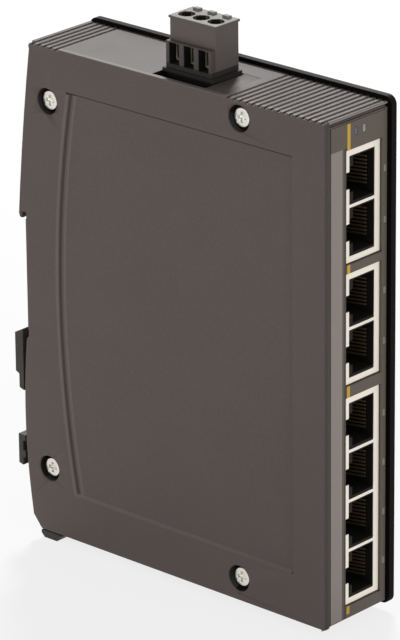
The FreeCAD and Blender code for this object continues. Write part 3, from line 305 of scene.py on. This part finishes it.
lid_low, lid_high = Vector((-11.55, -69.85, 65.3)) * MM, Vector((3.75, -64.3, 66.47)) * MM
rib_margin, rib_height, lid_edge = 0.5 * MM, 1.2 * MM, 0.12 * MM
bpy.ops.object.select_all(action="DESELECT")
bpy.ops.mesh.primitive_cube_add(size=1.0)
lid = bpy.context.object
lid.name = "closing_strip"
bpy.ops.object.mode_set(mode="EDIT")
bpy.ops.transform.resize(value=lid_high - lid_low, center_override=(0.0, 0.0, 0.0))
bpy.ops.transform.translate(value=(lid_low + lid_high) / 2)
bpy.ops.mesh.select_mode(type="FACE")
bpy.ops.mesh.select_all(action="DESELECT")
bpy.ops.object.mode_set(mode="OBJECT")
for face in lid.data.polygons:
    face.select = face.normal.z < -0.9
bpy.ops.object.mode_set(mode="EDIT")
bpy.ops.mesh.inset(thickness=rib_margin, depth=0.0)
bpy.ops.mesh.extrude_region_move(TRANSFORM_OT_translate={"value": (0.0, 0.0, -rib_height)})
bpy.ops.object.mode_set(mode="OBJECT")
lid_round = lid.modifiers.new("edge round", "BEVEL")
lid_round.width = lid_edge
lid_round.segments = 2
bpy.ops.object.modifier_apply(modifier=lid_round.name)
bpy.ops.object.shade_smooth_by_angle(angle=SHARP)
# The strip takes the same painted shade as the frame's top: a darker grey that holds down the
# light from above.
lid_moulding, _, _ = skin("strip moulding", powder_coat, top_shaded_grey,
                          tone=0.16, cloud=0.1, gloss=0.4, relief=0.05, specular=0.2)
lid.data.materials.append(lid_moulding)
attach(lid, "housing")


# ---- Circuit board -----------------------------------------------------------------
# Green glass-fibre board screwed to the posts of the base cover, with the resin, metal and
# ceramic parts that such a switch needs soldered to it.

moulded_skin = finish_group("moulded skin", 1200.0, 60.0)
drawn_metal = finish_group("drawn metal", 900.0, 120.0, stretch=(1.0, 1.0, 0.12))
solder_resist, _, _ = skin("green solder resist", moulded_skin, srgb(24, 92, 48),
                           tone=0.1, cloud=0.2, gloss=0.25, relief=0.02)
chip_resin, _, _ = skin("black resin", moulded_skin, srgb(34, 34, 36),
                        tone=0.15, cloud=0.06, gloss=0.45, relief=0.03)
drawn_can, _, _ = skin("drawn aluminium", drawn_metal, srgb(196, 196, 198),
                       tone=0.06, cloud=0.05, gloss=0.25, relief=0.01, metallic=1.0)
finished("circuit_board", "board", "housing", solder_resist, edge=0.1)
for part in ("switch_chip", "line_transformers", "power_inductor", "regulator_chip"):
    finished(part, part + "_body", "housing", chip_resin, edge=0.2)
for part in ("crystal", "smoothing_capacitors"):
    finished(part, part + "_can", "housing", drawn_can, edge=0.3)
diode_resin, _, _ = skin("pale resin", moulded_skin, srgb(230, 226, 196),
                         tone=0.05, cloud=0.04, gloss=0.3, relief=0.01)
finished("input_fuse", "input_fuse_body", "housing", diode_resin, edge=0.2)
bright_zinc, _, _ = skin("bright zinc", drawn_metal, srgb(226, 223, 216),
                         tone=0.05, cloud=0.06, gloss=0.16, relief=0.005, metallic=1.0)
finished("board_screws", "board_screw_set", "housing", bright_zinc, edge=0.1)


# ---- Network jacks -----------------------------------------------------------------
# Three ganged jacks: a shield folded from tinned sheet round a black moulded insert, and
# gilded spring wires that stand slanting in every cavity.

tinned_sheet, _, _ = skin("tinned sheet", drawn_metal, srgb(244, 235, 222),
                          tone=0.03, cloud=0.05, gloss=0.3, relief=0.008, metallic=0.8)
black_moulding, _, _ = skin("black moulding", moulded_skin, srgb(24, 22, 20),
                            tone=0.15, cloud=0.1, gloss=0.45, relief=0.03, specular=0.15)
gilded_wire, _, _ = skin("gilded wire", drawn_metal, srgb(96, 80, 56),
                         tone=0.06, cloud=0.05, gloss=0.3, relief=0.004, metallic=0.7)
jacks = ("upper_jack", "middle_jack", "lower_jack")
for jack in jacks:
    finished(jack + "_shield", jack + "_can", "housing", tinned_sheet, edge=0.1)
    finished(jack + "_insert", jack + "_moulding", "housing", black_moulding,
             edge=0.1, sides=8)
    finished(jack + "_contacts", jack + "_springs", "housing", gilded_wire,
             edge=0.04)


# ---- Light pipes -------------------------------------------------------------------
# Clear moulded rods that carry the light of the diodes on the board over the jacks to the
# slits in the front: one beside each socket, and two for the power supply.

rod_grey = srgb(142, 137, 124)
clear_rod, _, _ = skin("clear rod", moulded_skin, rod_grey,
                       tone=0.05, cloud=0.05, gloss=0.12, relief=0.005, specular=0.5)
for jack in jacks:
    finished(jack + "_light_pipe", jack + "_light_rods", "housing", clear_rod,
             edge=0.1)
power_rod, rod_tree, rod_finish = skin("tinted rod", moulded_skin, rod_grey,
                                       tone=0.05, cloud=0.05, gloss=0.12, relief=0.005)
slit = (-107.0, -104.5)
painted(rod_tree, rod_finish, rod_grey, (
    (srgb(102, 96, 132), {"along": slit, "across": (-2.2, -0.8)}),
    (srgb(150, 164, 138), {"along": slit, "across": (1.0, 2.4)}),
))
finished("power_light_pipe", "power_light_rods", "housing", power_rod, edge=0.1)
for part in ("port_diodes", "power_diodes"):
    finished(part, part + "_set", "housing", diode_resin, edge=0.1)


# ---- Front foil --------------------------------------------------------------------
# Printed polyester foil stuck on the front wall and cut out round the jacks: a warm
# grey ground, a paler strip along the screwed cover and one thin yellow line.

foil_grey = srgb(103, 95, 86)
foil_print, foil_tree, foil_finish = skin("printed foil", moulded_skin, foil_grey,
                                          tone=0.06, cloud=0.04, gloss=0.32, relief=0.012,
                                          specular=0.2)
field_height, line_height = (-73.0, 58.0), (-71.2, 64.3)
painted(foil_tree, foil_finish, foil_grey, (
    (srgb(152, 142, 136), {"across": (-12.0, -6.8), "up": field_height}),
    # Painted shade: a darker band beside the jacks, along the edge of their cut-outs.
    (srgb(76, 70, 64), {"across": (-6.1, -4.9), "up": field_height}),
    (srgb(216, 172, 66), {"across": (-4.9, -3.7), "up": line_height}),
))
finished("front_foil", "foil", "housing", foil_print)


# ---- Screwed cover -----------------------------------------------------------------
# The large cast cover with its shallow sloping field, held by four long screws whose bright
# heads lie deep in round wells. Painted shade darkens its front rim, the wells and the slopes
# of the field that face away from the light; painted light brightens its top face and the
# slopes that face the light.

def ramp(tree, value, start, end):
    """0 up to one place in millimetres, rising softly to 1 at another."""
    made = add(tree, "MapRange", interpolation_type="SMOOTHSTEP")
    made.inputs["From Min"].default_value = start * MM
    made.inputs["From Max"].default_value = end * MM
    tree.links.new(value, made.inputs["Value"])
    return made.outputs["Result"]


def round_well(tree, centre, radius):
    """1 inside a round well that runs across the width. Its centre is given along and up."""
    flat = add(tree, "VectorMath", operation="MULTIPLY")
    flat.inputs[1].default_value = (0.0, 1.0, 1.0)
    tree.links.new(tree.nodes.new("ShaderNodeTexCoord").outputs["Object"], flat.inputs[0])
    apart = add(tree, "VectorMath", operation="DISTANCE")
    apart.inputs[1].default_value = (0.0, centre[0] * MM, centre[1] * MM)
    tree.links.new(flat.outputs[0], apart.inputs[0])
    inside = add(tree, "Math", operation="LESS_THAN")
    inside.inputs[1].default_value = radius * MM
    tree.links.new(apart.outputs["Value"], inside.inputs[0])
    return inside.outputs[0]


wells = ((-9.2, 51.2), (-77.0, 61.4), (-7.2, -54.6), (-76.0, -67.0))
cover_grey = srgb(99, 89, 86)
cover_coat, cover_tree, cover_finish = skin("cover powder coat", powder_coat, cover_grey,
                                            tone=0.2, cloud=0.12, gloss=0.4, relief=0.05,
                                            specular=0.2)
# Painted shade and painted light for the slopes of the cover's field.
painted_shade_grey, painted_light_grey = srgb(66, 60, 57), srgb(112, 103, 100)
cover_places = split(cover_tree)
well_radius = 3.8
# Masks of painted shade: the deep walls of the wells, and the rounded front rim.
well_wall = ramp(cover_tree, cover_places["across"], -12.8, -12.3)
front_rim_shade = ramp(cover_tree, cover_places["along"], -105.5, -106.3)
# The field and the depths of its sloping border, which falls from the outer face.
field_along, field_up, border = (-95.1, -10.8), (-60.3, 55.5), (-12.97, -12.13)
rear_along = (-20.0, -10.8)
# Painted shade on the rounded front rim; painted light on the top face, where the light from above
# falls.
coats = [(srgb(76, 70, 67), front_rim_shade), (srgb(108, 101, 98), {"up": (66.25, 67.0)})]
# Painted highlight, painted shade and a second painted highlight across the wide rear slope of the
# field's border.
for depths, tone in (((-12.97, -12.75), painted_light_grey), ((-12.7, -12.45), painted_shade_grey),
                     ((-12.3, -12.13), painted_light_grey)):
    coats.append((tone, {"across": depths, "along": rear_along, "up": field_up}))
# Painted light on the bottom slope, which faces up; painted shade on the top slope and the front
# slope.
coats.append((painted_light_grey, {"across": border, "along": field_along, "up": (-60.3, -59.45)}))
coats.append((srgb(44, 40, 38), {"across": border, "along": field_along, "up": (54.7, 55.5)}))
coats.append((srgb(62, 57, 54), {"across": border, "along": (-95.1, -94.3), "up": field_up}))
# Painted shade deep in the round wells round the screw heads.
for well in wells:
    inside = joined(cover_tree, well_wall, round_well(cover_tree, well, well_radius))
    coats.append((srgb(26, 24, 22), inside))
painted(cover_tree, cover_finish, cover_grey, coats)


def on_cover_rim(first, second):
    """True for an edge of the outer face's rim. The ribbed top edge and the rims of the field
    and of the wells stay as they are."""
    outside = all(end.x < -12.95 * MM and end.z < 65.3 * MM for end in (first, second))
    inner = all(-104.0 * MM < end.y < -4.5 * MM and end.z > -70.5 * MM
                for end in (first, second))
    return outside and not inner


finished("left_cover", "screwed_cover", "housing", cover_coat,
         segments=4, sides=8, rim=on_cover_rim, rim_edge=0.6, clamp=False)
finished("cover_screws", "cover_screw_set", "housing", bright_zinc, edge=0.12)


# ---- Rail latch --------------------------------------------------------------------
# Moulded slider between the covers, with the nose that grips the rail's lower flange and a
# foot to pull it down by. A coil of drawn wire holds it up behind the rail.

latch_moulding, _, _ = skin("latch moulding", moulded_skin, srgb(70, 65, 62),
                            tone=0.14, cloud=0.06, gloss=0.4, relief=0.03, specular=0.2)
finished("rail_latch", "latch", "latch", latch_moulding, edge=0.15)
spring_wire, _, _ = skin("spring wire", drawn_metal, srgb(150, 150, 150),
                         tone=0.08, cloud=0.05, gloss=0.25, relief=0.01, metallic=1.0)
finished("latch_spring", "latch_coil", "housing", spring_wire)


# ---- Power header and plug ---------------------------------------------------------
# Three-pole plug that stands in a dark header on the board: screws from above lift the
# clamp cages behind the three wire windows. The plug's top is paler.

header_moulding, _, _ = skin("header moulding", moulded_skin, srgb(44, 41, 39),
                             tone=0.14, cloud=0.06, gloss=0.45, relief=0.03, specular=0.15)
nickel, _, _ = skin("nickel plate", drawn_metal, srgb(170, 163, 148),
                    tone=0.08, cloud=0.05, gloss=0.28, relief=0.006, metallic=1.0)
plug_grey = srgb(103, 95, 92)
plug_moulding, plug_tree, plug_finish = skin("plug moulding", moulded_skin, plug_grey,
                                             tone=0.14, cloud=0.08, gloss=0.4, relief=0.03,
                                             specular=0.2)
poles = (-60.18, -55.1, -50.02)
half_window, half_hole = 1.8, 2.15
# Painted shade on the part of the plug that stands inside the header.
coats = [(srgb(50, 47, 44), {"up": (50.0, 69.0)}),                              # inside the header
         # Painted shade below the ledge, round the windows.
         (srgb(84, 78, 75), {"up": (69.0, 74.95), "across": (-7.7, -5.95)}),    # round the windows
         (srgb(134, 130, 126), {"up": (81.22, 83.0)})]                          # the lip on top
# Painted shade deep in the wire windows and the screw holes.
for pole in poles:
    window = {"along": (pole - half_window, pole + half_window), "up": (68.7, 74.7),
              "across": (-7.3, 1.0)}
    hole = {"along": (pole - half_hole, pole + half_hole), "up": (74.0, 81.1),
            "across": (-4.65, -0.35)}
    coats += [(srgb(20, 19, 18), window), (srgb(22, 21, 20), hole)]
painted(plug_tree, plug_finish, plug_grey, coats)
finished("power_header", "header", "housing", header_moulding, edge=0.12)
finished("header_pins", "header_pin_set", "housing", nickel, edge=0.08)
finished("plug_body", "plug", "housing", plug_moulding, edge=0.12, sides=100)
finished("plug_contacts", "plug_contact_set", "housing", nickel, edge=0.05)
for number in ("1", "2", "3"):
    screw, cage = "clamp_screw_" + number, "clamp_cage_" + number
    finished("terminal_screw_" + number, screw + "_head", screw, nickel, edge=0.08)
    finished(cage, cage + "_shell", "cage_" + number, nickel, edge=0.04)


# ---- Floor, lamps and camera -------------------------------------------------------
# A pale seamless floor, a key lamp from behind on the right, soft lamps above, on the left
# and in front, and a long lens.

def seen_plainly(tree):
    """1 for what the camera sees directly, in a reflection or through something clear."""
    path = tree.nodes.new("ShaderNodeLightPath").outputs
    direct = joined(tree, path["Is Camera Ray"], path["Is Glossy Ray"], "MAXIMUM")
    return joined(tree, direct, path["Is Transmission Ray"], "MAXIMUM")


floor_size, floor_glow, sky_light = 6.0, 0.8, 0.2
bpy.ops.mesh.primitive_plane_add(size=floor_size, location=(0, 0, cad_box[0].z))
floor = bpy.context.object
floor.name = "floor"
floor_paint, floor_tree, floor_shader = surface("floor", roughness=0.9, specular=0.0,
                                                colour=(0.9, 0.9, 0.9, 1))
lit = add(floor_tree, "Emission", Strength=1.0)
share = scaled(floor_tree, seen_plainly(floor_tree), floor_glow)
blend = floor_tree.nodes.new("ShaderNodeMixShader")
floor_tree.links.new(share, blend.inputs[0])
floor_tree.links.new(floor_shader.outputs[0], blend.inputs[1])
floor_tree.links.new(lit.outputs[0], blend.inputs[2])
floor_tree.links.new(blend.outputs[0], floor_tree.nodes["Material Output"].inputs[0])
floor.data.materials.append(floor_paint)

scene = bpy.context.scene
scene.view_settings.view_transform = "Standard"
world = bpy.data.worlds.new("studio")
scene.world = world
world.use_nodes = True
sky = world.node_tree
backdrop = sky.nodes["Background"]
backdrop.inputs["Color"].default_value = (1, 1, 1, 1)
strength = scaled(sky, seen_plainly(sky), 1.0 - sky_light, sky_light)
sky.links.new(strength, backdrop.inputs["Strength"])


centre = Vector((0.0, -0.05, 0.0))


def lamp(name, place, size, power):
    """A square soft box that faces the middle of the housing."""
    light = bpy.data.lights.new(name, "AREA")
    light.shape = "SQUARE"
    light.size = size
    light.energy = power
    holder = bpy.data.objects.new(name, light)
    scene.collection.objects.link(holder)
    holder.location = place
    holder.rotation_euler = (centre - Vector(place)).to_track_quat("-Z", "Y").to_euler()


lamp("key box", place=(0.83, 0.60, 0.95), size=0.3, power=16.5)
lamp("top box", place=(-0.2, 0.1, 1.2), size=0.8, power=0.8)
lamp("left box", place=(-1.3, -0.1, 0.1), size=0.9, power=6.4)
lamp("front box", place=(-0.1, -1.4, 0.1), size=1.0, power=7.6)

azimuth, elevation, roll = (math.radians(angle) for angle in (-47.78, 21.27, -0.577))
distance, focal_length, sensor = 1.2455, 266.1, 36.0
aim = Vector((-4.09, -55.0, -1.71)) * MM
back = Vector((math.sin(azimuth) * math.cos(elevation), -math.cos(azimuth) * math.cos(elevation),
               math.sin(elevation)))
turn = Matrix.Rotation(roll, 4, back) @ back.to_track_quat("Z", "Y").to_matrix().to_4x4()
lens = bpy.data.cameras.new("camera")
lens.lens = focal_length
lens.sensor_width = sensor
camera = bpy.data.objects.new("camera", lens)
scene.collection.objects.link(camera)
camera.matrix_world = Matrix.Translation(aim + back * distance) @ turn
scene.camera = camera
